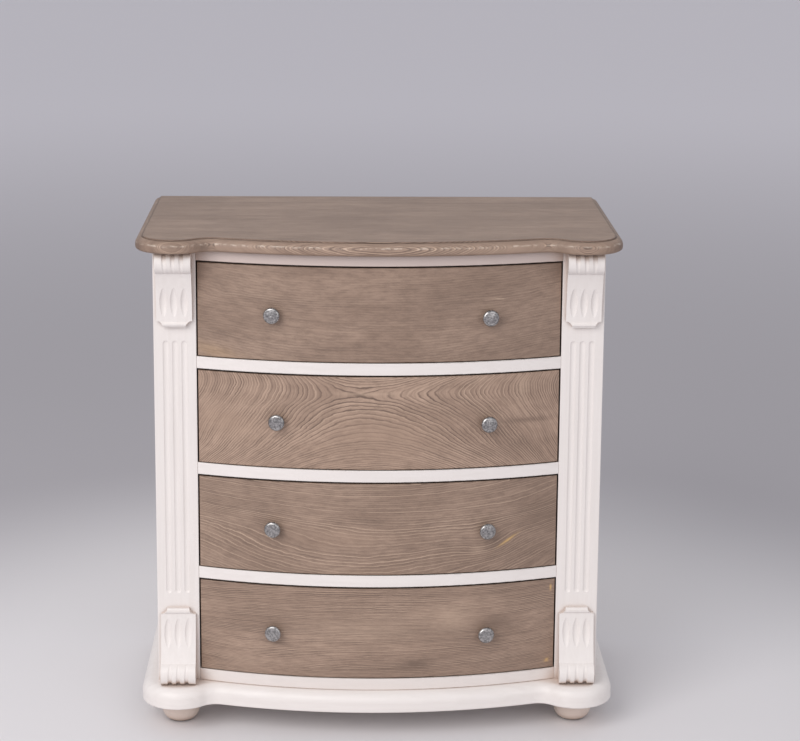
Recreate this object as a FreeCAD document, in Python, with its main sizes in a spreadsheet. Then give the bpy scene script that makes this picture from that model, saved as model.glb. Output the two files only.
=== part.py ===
"""Bow front chest of drawers: a painted case with four bowed drawers, each on its own pair of wooden runners.

Frame: +X to the viewer's right, +Y to the back, +Z up, origin on the floor under the middle of the chest.
Every piece is drawn with y = 0 on the front face of the posts, and its Placement carries it to its place.
Drawers count from the top: drawer 1 is the highest.
"""
import FreeCAD
import Part

import math
import os

import Sketcher

DRAWERS = 4
SIDES = {"left": -1, "right": 1}

# Driving dimensions in millimetres. Each is one cell of the sheet, and everything else follows from them.
SIZES = {
    # heights, from the floor up
    "foot_height": 50,
    "plinth_thickness": 36,
    "bottom_rail_height": 22,
    "opening_height": 173.5,
    "divider_height": 22,
    "top_rail_height": 21,
    "top_thickness": 24,
    # plan
    "opening_width": 648,
    "post_width": 76,
    "post_depth": 40,
    "body_depth": 410,
    "side_overhang": 30,
    "back_overhang": 10,
    "bow_rise": 54,
    "bow_overhang": 20,
    "ear_projection": 58,
    "valley_radius": 34,
    # edges of the top board and the plinth
    "top_corner_radius": 16,
    "step_inset": 12.5,
    "step_height": 2.5,
    "top_edge_round": 12,
    "under_edge_round": 5,
    "plinth_corner_radius": 24,
    "plinth_top_round": 18,
    "plinth_low_round": 3,
    # case joinery
    "arris_round": 1.5,
    "tenon_length": 14,
    "tenon_thickness": 12,
    "tenon_shoulder": 8,
    "joint_clearance": 0.2,
    "overcut": 1,
    "rear_post_width": 45,
    "rear_post_depth": 45,
    "side_thickness": 20,
    "side_top_rail_height": 55,
    "side_bottom_rail_height": 75,
    "panel_thickness": 8,
    "panel_groove_depth": 10,
    "back_panel_thickness": 6,
    "back_rebate_width": 20,
    # flutes of the front posts
    "flute_radius": 7.5,
    "flute_depth": 2.2,
    "flute_pitch": 16.5,
    "flute_margin": 24,
    # corbels, measured from the scroll end
    "corbel_width": 63,
    "corbel_height": 140,
    "scroll_height": 40,
    "scroll_foot": 25,
    "scroll_crease": 26,
    "scroll_radius": 21.5,
    "reed_pitch": 15,
    "reed_groove_radius": 4.5,
    "reed_groove_depth": 1.8,
    "reed_runout": 1.9,
    "hollow_foot": 9,
    "lip_height": 10,
    "lip_projection": 12.5,
    "lip_round": 4,
    "lip_notch_radius": 11.5,
    "gouge_pitch": 18.5,
    "gouge_radius": 8.5,
    "gouge_stand_off": 2.5,
    "gouge_scroll_margin": 20,
    # feet
    "foot_setback": 31,
    "foot_radius": 34,
    "foot_belly_height": 23,
    "foot_contact_radius": 20,
    "foot_neck_radius": 25,
    "foot_neck_height": 6,
    "spigot_radius": 12,
    "spigot_length": 22,
    # runners
    "runner_ledge": 28,
    "guide_width": 18,
    "guide_height": 20,
    "guide_clearance": 1,
    "stop_length": 12,
    # drawers
    "drawer_side_gap": 2.5,
    "drawer_top_gap": 2.5,
    "drawer_low_gap": 1.5,
    "front_thickness": 20,
    "front_lap": 8,
    "drawer_board": 12,
    "drawer_side_drop": 9.5,
    "drawer_back_drop": 6,
    "drawer_back_clearance": 7,
    "drawer_tail": 6,
    "bottom_thickness": 6,
    "bottom_rise": 12,
    "bottom_groove_depth": 6,
    # knobs and their screws
    "knob_offset_left": 187,
    "knob_offset_right": 192.5,
    "knob_drop_left": 2,
    "knob_drop_right": 6,
    "second_left_knob_slip": 8,
    "second_knobs_rise": 2.5,
    "knob_radius": 15,
    "knob_length": 18,
    "knob_face_radius": 9.4,
    "knob_shoulder_radius": 4.6,
    "knob_rim_drop": 5.2,
    "knob_under_radius": 9,
    "knob_head_height": 10.5,
    "knob_stem_radius": 5.5,
    "knob_waist_radius": 6,
    "knob_base_radius": 7.5,
    "knob_base_height": 2.5,
    "screw_radius": 2,
    "screw_bite": 11.5,
    "screw_head_radius": 4.5,
    "screw_head_height": 2.5,
    "screw_hole_clearance": 0.2,
}

# Lengths that follow from the driving dimensions, as expressions on the sheet.
HALF_OPENING = "(Size.opening_width / 2)"
HALF_BODY = f"({HALF_OPENING} + Size.post_width)"
HALF_TOP = f"({HALF_BODY} + Size.side_overhang)"
POST_CENTRE = f"({HALF_OPENING} + Size.post_width / 2)"
EAR_RADIUS = f"({HALF_TOP} - {POST_CENTRE})"
FRONT_REACH = "(Size.bow_rise + Size.bow_overhang)"
BACK_REACH = "(Size.body_depth + Size.back_overhang)"
FACE_Y = f"(({FRONT_REACH} - {BACK_REACH}) / 2)"
BOW_RADIUS = f"(({HALF_OPENING} ^ 2 + Size.bow_rise ^ 2) / (2 * Size.bow_rise))"
BOW_CENTRE_Y = f"({BOW_RADIUS} - Size.bow_rise)"
BODY_LOW = "(Size.foot_height + Size.plinth_thickness)"
FIRST_FLOOR = f"({BODY_LOW} + Size.bottom_rail_height)"
STOREY = "(Size.opening_height + Size.divider_height)"
TOP_OPENING_HEAD = f"({FIRST_FLOOR} + {DRAWERS - 1} * {STOREY} + Size.opening_height)"
BODY_TOP = f"({TOP_OPENING_HEAD} + Size.top_rail_height)"
BODY_HEIGHT = f"({BODY_TOP} - {BODY_LOW})"
SIDE_INNER = f"({HALF_BODY} - Size.side_thickness)"
REAR_POST_Y = "(Size.body_depth - Size.rear_post_depth)"
BACK_PANEL_Y = "(Size.body_depth - Size.back_panel_thickness)"
TONGUE_X = f"({HALF_BODY} - (Size.side_thickness + Size.panel_thickness) / 2)"
TONGUE_LENGTH = "(Size.panel_groove_depth - Size.joint_clearance)"
DRAWER_HALF = f"({HALF_OPENING} - Size.drawer_side_gap)"
DRAWER_SIDE_HEIGHT = "(Size.opening_height - Size.drawer_side_drop)"
DRAWER_LENGTH = f"({BACK_PANEL_Y} - Size.drawer_back_clearance - Size.stop_length)"
INNER_HALF = f"({DRAWER_HALF} - Size.drawer_board)"
BOTTOM_SURFACE = "(Size.bottom_rise + Size.bottom_thickness)"

# Turn of the reed cutter about the scroll, down past the foot and up to the crease, in degrees.
REED_TURN_DOWN = 75
REED_TURN_UP = 60

doc = FreeCAD.newDocument("bow_front_chest")
sheet = doc.addObject("Spreadsheet::Sheet", "Size")
for row, (alias, length) in enumerate(SIZES.items(), start=1):
    sheet.set(f"A{row}", str(length))
    sheet.setAlias(f"A{row}", alias)
doc.recompute()

nodes = []


def number(expression):
    """The value of an expression on the sheet."""
    return float(sheet.evalExpression(str(expression)))


def floor_of(drawer):
    """Level of the surface that a drawer runs on."""
    return f"({FIRST_FLOOR} + {DRAWERS - drawer} * {STOREY})"


def bow_y(radius, x):
    """Depth, at x, of an arc of this radius about the centre of the bow."""
    return f"({BOW_CENTRE_Y} - sqrt(({radius}) ^ 2 - ({x}) ^ 2))"


def bind(item, expressions):
    """Tie properties of one object to the sheet."""
    for path, expression in expressions.items():
        item.setExpression(path, expression)


def place(item, x="0", y="0", z="0"):
    """Carry a piece, drawn on the face plane of the posts, to its place in the chest."""
    bind(item, {"Placement.Base.x": x, "Placement.Base.y": f"{FACE_Y} + ({y})", "Placement.Base.z": z})


def node(item, label):
    """Name a finished sub-part and put it on the list of pieces to write."""
    item.Label = label
    nodes.append(item)
    return item


# ---------------------------------------------------------------- sketches and features

def new_sketch(body, plane, offset="0"):
    """An empty sketch on one of the body's own origin planes, moved along the plane's normal."""
    sketch = body.newObject("Sketcher::SketchObject", "outline")
    support = next(item for item in body.Origin.OriginFeatures if item.Role == plane)
    sketch.AttachmentSupport = [(support, "")]
    sketch.MapMode = "FlatFace"
    sketch.setExpression("AttachmentOffset.Base.z", offset)
    return sketch


def arc_through(start, end, radius, side):
    """Arc from start to end that bulges to the right (side 1) or to the left (side -1) of its direction."""
    chord = end - start
    half = chord.Length / 2
    rise = radius - math.sqrt(radius ** 2 - half ** 2)
    out = FreeCAD.Vector(chord.y, -chord.x, 0).normalize() * side
    return Part.Arc(start, (start + end) / 2 + out * rise, end)


def hold(sketch, constraint, expression):
    """Add one dimension to a sketch and tie it to the sheet."""
    index = sketch.addConstraint(Sketcher.Constraint(*constraint, number(expression)))
    sketch.setExpression(f"Constraints[{index}]", expression)


def outline(sketch, corners):
    """Closed outline. A corner is (x, y), or (x, y, radius, side) where an arc leads to it."""
    places = [FreeCAD.Vector(number(corner[0]), number(corner[1]), 0) for corner in corners]
    first = sketch.GeometryCount
    for index, corner in enumerate(corners):
        start, end = places[index - 1], places[index]
        if len(corner) == 2:
            sketch.addGeometry(Part.LineSegment(start, end))
        else:
            sketch.addGeometry(arc_through(start, end, number(corner[2]), corner[3]))
    for index, corner in enumerate(corners):
        this = first + index
        following = first + (index + 1) % len(corners)
        leaves = 1 if sketch.getPoint(this, 1).isEqual(places[index], 1e-6) else 2
        enters = 1 if sketch.getPoint(following, 1).isEqual(places[index], 1e-6) else 2
        sketch.addConstraint(Sketcher.Constraint("Coincident", this, leaves, following, enters))
        hold(sketch, ("DistanceX", -1, 1, this, leaves), corner[0])
        hold(sketch, ("DistanceY", -1, 1, this, leaves), corner[1])
        if len(corner) == 4:
            hold(sketch, ("Radius", this), corner[2])
    return sketch


def rectangle(sketch, low_x, low_y, high_x, high_y):
    """Closed rectangle between two corners."""
    return outline(sketch, [(low_x, low_y), (high_x, low_y), (high_x, high_y), (low_x, high_y)])


def circle(sketch, x, y, radius):
    """Circle about a point."""
    ring = Part.Circle(FreeCAD.Vector(number(x), number(y), 0), FreeCAD.Vector(0, 0, 1), number(radius))
    index = sketch.addGeometry(ring)
    hold(sketch, ("DistanceX", -1, 1, index, 3), x)
    hold(sketch, ("DistanceY", -1, 1, index, 3), y)
    hold(sketch, ("Radius", index), radius)


def pad(body, sketch, length, reverse=False, middle=False):
    """Extrude a sketch and add it to the body."""
    feature = body.newObject("PartDesign::Pad", "pad")
    feature.Profile = sketch
    feature.Reversed = reverse
    feature.Midplane = middle
    feature.setExpression("Length", length)
    doc.recompute()
    return feature


def pocket(body, sketch, depth=None, reverse=False):
    """Cut a sketch out of the body, to a depth or all the way through."""
    before = body.Shape.Volume
    feature = body.newObject("PartDesign::Pocket", "pocket")
    feature.Profile = sketch
    feature.Reversed = reverse
    if depth is None:
        feature.Type = "ThroughAll"
        feature.Midplane = True
    else:
        feature.setExpression("Length", depth)
    doc.recompute()
    if not body.Shape.Volume < before - 1e-3:
        raise RuntimeError(f"{body.Label}: {feature.Name} cuts nothing")
    return feature


def axis_of(body, role):
    """One of the body's own origin axes."""
    return next(item for item in body.Origin.OriginFeatures if item.Role == role)


def revolve(body, sketch, axis):
    """Turn a sketch all the way round and add it to the body."""
    feature = body.newObject("PartDesign::Revolution", "turned")
    feature.Profile = sketch
    feature.ReferenceAxis = (axis_of(body, axis), [""])
    feature.Angle = 360
    doc.recompute()
    return feature


def spine(sketch, ends):
    """Construction line between two points of the sketch, each given as (geometry, point), to turn about."""
    start, end = (sketch.getPoint(*point) for point in ends)
    line = sketch.addGeometry(Part.LineSegment(start, end), True)
    for point, (geometry, which) in enumerate(ends, start=1):
        sketch.addConstraint(Sketcher.Constraint("Coincident", line, point, geometry, which))
    return line


def groove(body, sketch, turns=None):
    """Cut a sketch out of the body as it turns about its construction line.

    It turns right round, or two ways by an angle.
    """
    before = body.Shape.Volume
    feature = body.newObject("PartDesign::Groove", "groove")
    feature.Profile = sketch
    feature.ReferenceAxis = (sketch, ["Axis0"])
    feature.Angle = 360
    if turns:
        feature.Type = "TwoAngles"
        feature.Angle, feature.Angle2 = turns
    doc.recompute()
    if not body.Shape.Volume < before - 1e-3:
        raise RuntimeError(f"{body.Label}: {feature.Name} cuts nothing")
    return feature


def repeat(body, feature, axis, length, count):
    """Repeat a feature along one of the body's origin axes over a length."""
    pattern = body.newObject("PartDesign::LinearPattern", "pattern")
    pattern.Originals = [feature]
    pattern.Direction = (axis_of(body, axis), [""])
    pattern.setExpression("Length", length)
    pattern.Occurrences = count
    body.Tip = pattern
    doc.recompute()
    return pattern


def round_edges(body, radius, chosen):
    """Round those edges of the body's last feature that the test picks."""
    base = body.Tip
    names = [f"Edge{index}" for index, edge in enumerate(base.Shape.Edges, start=1) if chosen(edge)]
    feature = body.newObject("PartDesign::Fillet", "round")
    feature.Base = (base, names)
    feature.setExpression("Radius", radius)
    doc.recompute()
    return feature


def flat_at(level):
    """Test for edges that lie in one horizontal plane of the body."""
    height = number(level)

    def chosen(edge):
        return abs(edge.BoundBox.ZMin - height) < 1e-4 and abs(edge.BoundBox.ZMax - height) < 1e-4
    return chosen


def new_body(label):
    """An empty body with its label."""
    body = doc.addObject("PartDesign::Body", label)
    body.Label = label
    return body


def box(name, low, high):
    """Part::Box between two corners, each three expressions."""
    item = doc.addObject("Part::Box", name)
    spans = [f"({top}) - ({bottom})" for bottom, top in zip(low, high)]
    bind(item, dict(zip(("Length", "Width", "Height"), spans)))
    bind(item, dict(zip(("Placement.Base.x", "Placement.Base.y", "Placement.Base.z"), low)))
    return item


def across(side, near, far):
    """The two x limits of a piece on one side of the chest, lower one first."""
    return (f"({near})", f"({far})") if side > 0 else (f"(-({far}))", f"(-({near}))")


# ---------------------------------------------------------------- plan of the top board and the plinth

def serpentine(sketch, inset, corner_radius):
    """Plan with straight back and sides, a round ear over each post, a hollow beside it and the long bow.

    All of its arcs touch each other, so an inset only changes their radii.
    """
    ear_y = f"({EAR_RADIUS} - Size.ear_projection)"
    radii = {
        "corner": f"({corner_radius} - {inset})",
        "ear": f"({EAR_RADIUS} - {inset})",
        "valley": f"(Size.valley_radius + {inset})",
        "bow": f"({BOW_RADIUS} + Size.bow_overhang - {inset})",
    }
    back = f"({BACK_REACH} - {inset})"
    corner, ear, valley, bow = (number(radii[key]) for key in ("corner", "ear", "valley", "bow"))
    half = number(HALF_TOP) - number(inset)
    bow_middle = FreeCAD.Vector(0, number(BOW_CENTRE_Y), 0)
    ear_middle = FreeCAD.Vector(number(POST_CENTRE), number(ear_y), 0)
    corner_middle = FreeCAD.Vector(half - corner, number(back) - corner, 0)

    # The hollow's centre is as far from the ear's centre and the bow's centre as the radii add up to.
    base = bow_middle - ear_middle
    along = ((ear + valley) ** 2 - (bow + valley) ** 2 + base.Length ** 2) / (2 * base.Length)
    off = math.sqrt((ear + valley) ** 2 - along ** 2)
    base.normalize()
    valley_middle = ear_middle + base * along + FreeCAD.Vector(-base.y, base.x, 0) * off
    ear_end = ear_middle + (valley_middle - ear_middle) * (ear / (ear + valley))
    bow_end = bow_middle + (valley_middle - bow_middle) * (bow / (bow + valley))

    def mirrored(point, side):
        return FreeCAD.Vector(side * point.x, point.y, 0)

    def add_arc(middle, start, end, radius):
        """Arc against the clock from start to end."""
        ring = Part.Circle(middle, FreeCAD.Vector(0, 0, 1), radius)
        first = math.atan2(start.y - middle.y, start.x - middle.x)
        last = math.atan2(end.y - middle.y, end.x - middle.x)
        if last <= first:
            last += 2 * math.pi
        return sketch.addGeometry(Part.ArcOfCircle(ring, first, last))

    corner_back = corner_middle + FreeCAD.Vector(0, corner, 0)
    corner_side = corner_middle + FreeCAD.Vector(corner, 0, 0)
    ear_start = ear_middle + FreeCAD.Vector(ear, 0, 0)

    # Against the clock, from the back edge: each entry is (geometry, point that enters, point that leaves).
    chain = [(sketch.addGeometry(Part.LineSegment(corner_back, mirrored(corner_back, -1))), 1, 2)]
    back_line = chain[0][0]
    left_corner = add_arc(mirrored(corner_middle, -1), mirrored(corner_back, -1),
                          mirrored(corner_side, -1), corner)
    left_side = sketch.addGeometry(Part.LineSegment(mirrored(corner_side, -1), mirrored(ear_start, -1)))
    left_ear = add_arc(mirrored(ear_middle, -1), mirrored(ear_start, -1), mirrored(ear_end, -1), ear)
    left_valley = add_arc(mirrored(valley_middle, -1), mirrored(bow_end, -1), mirrored(ear_end, -1), valley)
    bow_arc = add_arc(bow_middle, mirrored(bow_end, -1), bow_end, bow)
    right_valley = add_arc(valley_middle, ear_end, bow_end, valley)
    right_ear = add_arc(ear_middle, ear_end, ear_start, ear)
    right_side = sketch.addGeometry(Part.LineSegment(ear_start, corner_side))
    right_corner = add_arc(corner_middle, corner_side, corner_back, corner)
    chain += [(left_corner, 1, 2), (left_side, 1, 2), (left_ear, 1, 2), (left_valley, 2, 1), (bow_arc, 1, 2),
              (right_valley, 2, 1), (right_ear, 1, 2), (right_side, 1, 2), (right_corner, 1, 2)]
    for (this, _, leaves), (following, enters, _) in zip(chain, chain[1:] + chain[:1]):
        sketch.addConstraint(Sketcher.Constraint("Tangent", this, leaves, following, enters))

    sketch.addConstraint(Sketcher.Constraint("Horizontal", back_line))
    sketch.addConstraint(Sketcher.Constraint("Vertical", left_side))
    sketch.addConstraint(Sketcher.Constraint("Vertical", right_side))
    hold(sketch, ("DistanceY", -1, 1, back_line, 1), back)
    for side, arc in ((-1, left_ear), (1, right_ear)):
        hold(sketch, ("DistanceX", -1, 1, arc, 3), f"{side} * {POST_CENTRE}")
        hold(sketch, ("DistanceY", -1, 1, arc, 3), ear_y)
        hold(sketch, ("Radius", arc), radii["ear"])
    for arc in (left_corner, right_corner):
        hold(sketch, ("Radius", arc), radii["corner"])
    for arc in (left_valley, right_valley):
        hold(sketch, ("Radius", arc), radii["valley"])
    hold(sketch, ("DistanceX", -1, 1, bow_arc, 3), "0")
    hold(sketch, ("DistanceY", -1, 1, bow_arc, 3), BOW_CENTRE_Y)
    hold(sketch, ("Radius", bow_arc), radii["bow"])
    return sketch


def top_board():
    """Solid top with a bull-nosed edge and a flat table raised one small step above it."""
    body = new_body("top_board")
    edge_height = "(Size.top_thickness - Size.step_height)"
    pad(body, serpentine(new_sketch(body, "XY_Plane"), "0", "Size.top_corner_radius"), edge_height)
    round_edges(body, "Size.top_edge_round", flat_at(edge_height))
    round_edges(body, "Size.under_edge_round", flat_at("0"))
    table = serpentine(new_sketch(body, "XY_Plane", edge_height), "Size.step_inset", "Size.top_corner_radius")
    pad(body, table, "Size.step_height")
    place(body, z=BODY_TOP)
    node(body, "top_board")


def foot_places():
    """Centre of each foot, seen from above."""
    for end, y in (("front", "Size.foot_setback"), ("rear", "(Size.body_depth - Size.foot_setback)")):
        for name, side in SIDES.items():
            yield f"bun_foot_{end}_{name}", f"({side} * {POST_CENTRE})", y


def plinth():
    """Base board with the plan of the top and a bore for the spigot of each foot."""
    body = new_body("plinth")
    plan = serpentine(new_sketch(body, "XY_Plane"), "0", "Size.plinth_corner_radius")
    pad(body, plan, "Size.plinth_thickness")
    round_edges(body, "Size.plinth_top_round", flat_at("Size.plinth_thickness"))
    round_edges(body, "Size.plinth_low_round", flat_at("0"))
    bores = new_sketch(body, "XY_Plane")
    for _, x, y in foot_places():
        circle(bores, x, y, "(Size.spigot_radius + Size.joint_clearance)")
    pocket(body, bores, "(Size.spigot_length + Size.joint_clearance)", reverse=True)
    place(body, z="Size.foot_height")
    node(body, "plinth")


def bun_foot(label, x, y):
    """Turned foot: flattened ball, short neck, and a spigot that plugs into the plinth."""
    body = new_body(label)
    neck_low = "(Size.foot_height - Size.foot_neck_height)"
    profile = [
        ("0", "0"),
        ("Size.foot_contact_radius", "0"),
        ("Size.foot_radius", "Size.foot_belly_height", "Size.foot_belly_height", 1),
        ("Size.foot_neck_radius", neck_low, f"({neck_low} - Size.foot_belly_height)", 1),
        ("Size.foot_neck_radius", "Size.foot_height"),
        ("Size.spigot_radius", "Size.foot_height"),
        ("Size.spigot_radius", "(Size.foot_height + Size.spigot_length)"),
        ("0", "(Size.foot_height + Size.spigot_length)"),
    ]
    revolve(body, outline(new_sketch(body, "XZ_Plane"), profile), "Z_Axis")
    place(body, x=x, y=y)
    node(body, label)


# ---------------------------------------------------------------- case

def front_post(name, side):
    """Wide corner post: three flutes in front, mortises for the rails, a groove for the side frame."""
    body = new_body(f"front_post_{name}")
    low_x, high_x = across(side, HALF_OPENING, HALF_BODY)
    pad(body, rectangle(new_sketch(body, "XY_Plane"), low_x, "0", high_x, "Size.post_depth"), BODY_HEIGHT)
    round_edges(body, "Size.arris_round",
                lambda edge: edge.BoundBox.ZLength > 1 and edge.BoundBox.YMax < 1e-4)

    tongue_low, tongue_high = across(side, TONGUE_X, f"({TONGUE_X} + Size.panel_thickness)")
    slot = rectangle(new_sketch(body, "XY_Plane"), tongue_low, "(Size.post_depth - Size.panel_groove_depth)",
                     tongue_high, "(Size.post_depth + Size.overcut)")
    pocket(body, slot)

    mortises = new_sketch(body, "YZ_Plane", f"({side} * {HALF_OPENING})")
    for _, level, height in rail_places():
        low = f"({level} - {BODY_LOW} + ({height} - Size.tenon_thickness) / 2 - Size.joint_clearance)"
        rectangle(mortises, "(Size.tenon_shoulder - Size.joint_clearance)", low,
                  "(Size.post_depth - Size.tenon_shoulder + Size.joint_clearance)",
                  f"({low} + Size.tenon_thickness + 2 * Size.joint_clearance)")
    pocket(body, mortises, "(Size.tenon_length + Size.joint_clearance)", reverse=side > 0)

    low = "(Size.corbel_height + Size.flute_margin)"
    high = f"({BODY_HEIGHT} - Size.corbel_height - Size.flute_margin)"
    first_x = f"({side} * {POST_CENTRE} - Size.flute_pitch)"
    flute = new_sketch(body, "XZ_Plane", "(Size.flute_radius - Size.flute_depth)")
    outline(flute, [
        (first_x, low),
        (f"({first_x} + Size.flute_radius)", f"({low} + Size.flute_radius)", "Size.flute_radius", 1),
        (f"({first_x} + Size.flute_radius)", f"({high} - Size.flute_radius)"),
        (first_x, high, "Size.flute_radius", 1),
    ])
    spine(flute, [(0, 1), (0, 2)])
    repeat(body, groove(body, flute), "X_Axis", "(2 * Size.flute_pitch)", 3)
    place(body, z=BODY_LOW)
    node(body, f"front_post_{name}")


def rear_post(name, side):
    """Square post with a groove for the side frame and a rebate for the back panel."""
    body = new_body(f"rear_post_{name}")
    low_x, high_x = across(side, f"({HALF_BODY} - Size.rear_post_width)", HALF_BODY)
    plan = rectangle(new_sketch(body, "XY_Plane"), low_x, REAR_POST_Y, high_x, "Size.body_depth")
    pad(body, plan, BODY_HEIGHT)
    tongue_low, tongue_high = across(side, TONGUE_X, f"({TONGUE_X} + Size.panel_thickness)")
    slot = rectangle(new_sketch(body, "XY_Plane"), tongue_low, f"({REAR_POST_Y} - Size.overcut)",
                     tongue_high, f"({REAR_POST_Y} + Size.panel_groove_depth)")
    pocket(body, slot)
    rebate_low, rebate_high = across(side, f"({HALF_BODY} - Size.rear_post_width - Size.overcut)",
                                     f"({HALF_BODY} - Size.rear_post_width + Size.back_rebate_width)")
    rebate = rectangle(new_sketch(body, "XY_Plane"), rebate_low, BACK_PANEL_Y,
                       rebate_high, "(Size.body_depth + Size.overcut)")
    pocket(body, rebate)
    place(body, z=BODY_LOW)
    node(body, f"rear_post_{name}")


def side_rail(label, side, height, level, panel_above):
    """Side rail with stub tongues in the posts and a groove for the panel along one edge."""
    body = new_body(label)
    low_x, high_x = across(side, SIDE_INNER, HALF_BODY)
    groove_low, groove_high = across(side, TONGUE_X, f"({TONGUE_X} + Size.panel_thickness)")
    if panel_above:
        web_low, web_high = "0", f"({height} - Size.panel_groove_depth)"
        section = [(low_x, "0"), (high_x, "0"), (high_x, height), (groove_high, height),
                   (groove_high, web_high), (groove_low, web_high), (groove_low, height), (low_x, height)]
    else:
        web_low, web_high = "Size.panel_groove_depth", height
        section = [(low_x, height), (low_x, "0"), (groove_low, "0"), (groove_low, web_low),
                   (groove_high, web_low), (groove_high, "0"), (high_x, "0"), (high_x, height)]
    clear_length = f"({REAR_POST_Y} - Size.post_depth)"
    profile = outline(new_sketch(body, "XZ_Plane", "(-Size.post_depth)"), section)
    pad(body, profile, clear_length, reverse=True)
    tongue = rectangle(new_sketch(body, "XZ_Plane", f"({TONGUE_LENGTH} - Size.post_depth)"),
                       groove_low, web_low, groove_high, web_high)
    pad(body, tongue, f"({clear_length} + 2 * {TONGUE_LENGTH})", reverse=True)
    place(body, z=level)
    node(body, label)


def side_frame(name, side):
    """Frame and panel between the two posts of one side of the case."""
    side_rail(f"side_top_rail_{name}", side, "Size.side_top_rail_height",
              f"({BODY_TOP} - Size.side_top_rail_height)", False)
    side_rail(f"side_bottom_rail_{name}", side, "Size.side_bottom_rail_height", BODY_LOW, True)
    low_x, high_x = across(side, TONGUE_X, f"({TONGUE_X} + Size.panel_thickness)")
    panel_low = f"({BODY_LOW} + Size.side_bottom_rail_height - {TONGUE_LENGTH})"
    panel_high = f"({BODY_TOP} - Size.side_top_rail_height + {TONGUE_LENGTH})"
    panel = box("panel", (low_x, f"{FACE_Y} + Size.post_depth - {TONGUE_LENGTH}", panel_low),
                (high_x, f"{FACE_Y} + {REAR_POST_Y} + {TONGUE_LENGTH}", panel_high))
    node(panel, f"side_panel_{name}")


def back_panel():
    """Thin board in the rebates of the rear posts, from the plinth to the top board."""
    half = f"({HALF_BODY} - Size.rear_post_width + Size.back_rebate_width)"
    panel = box("back", (f"-{half}", f"{FACE_Y} + {BACK_PANEL_Y}", BODY_LOW),
                (half, f"{FACE_Y} + Size.body_depth", BODY_TOP))
    node(panel, "back_panel")


def rail_places():
    """Label, level and height of each front rail."""
    yield "top_rail", TOP_OPENING_HEAD, "Size.top_rail_height"
    for drawer in range(1, DRAWERS):
        yield f"divider_rail_{drawer}", f"({floor_of(drawer)} - Size.divider_height)", "Size.divider_height"
    yield "bottom_rail", BODY_LOW, "Size.bottom_rail_height"


def front_rail(label, level, height):
    """Bowed rail between the front posts, with a tenon at each end."""
    body = new_body(label)
    plan = outline(new_sketch(body, "XY_Plane"), [
        (f"(-{HALF_OPENING})", "0"),
        (HALF_OPENING, "0", BOW_RADIUS, 1),
        (HALF_OPENING, "Size.post_depth"),
        (f"(-{HALF_OPENING})", "Size.post_depth"),
    ])
    pad(body, plan, height)
    round_edges(body, "Size.arris_round", lambda edge: edge.BoundBox.YMin < -1 and edge.BoundBox.YLength > 1)
    low = f"(({height} - Size.tenon_thickness) / 2)"
    section = rectangle(new_sketch(body, "YZ_Plane"), "Size.tenon_shoulder", low,
                        "(Size.post_depth - Size.tenon_shoulder)", f"({low} + Size.tenon_thickness)")
    pad(body, section, "(Size.opening_width + 2 * Size.tenon_length)", middle=True)
    place(body, z=level)
    node(body, label)


# ---------------------------------------------------------------- corbels

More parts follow.
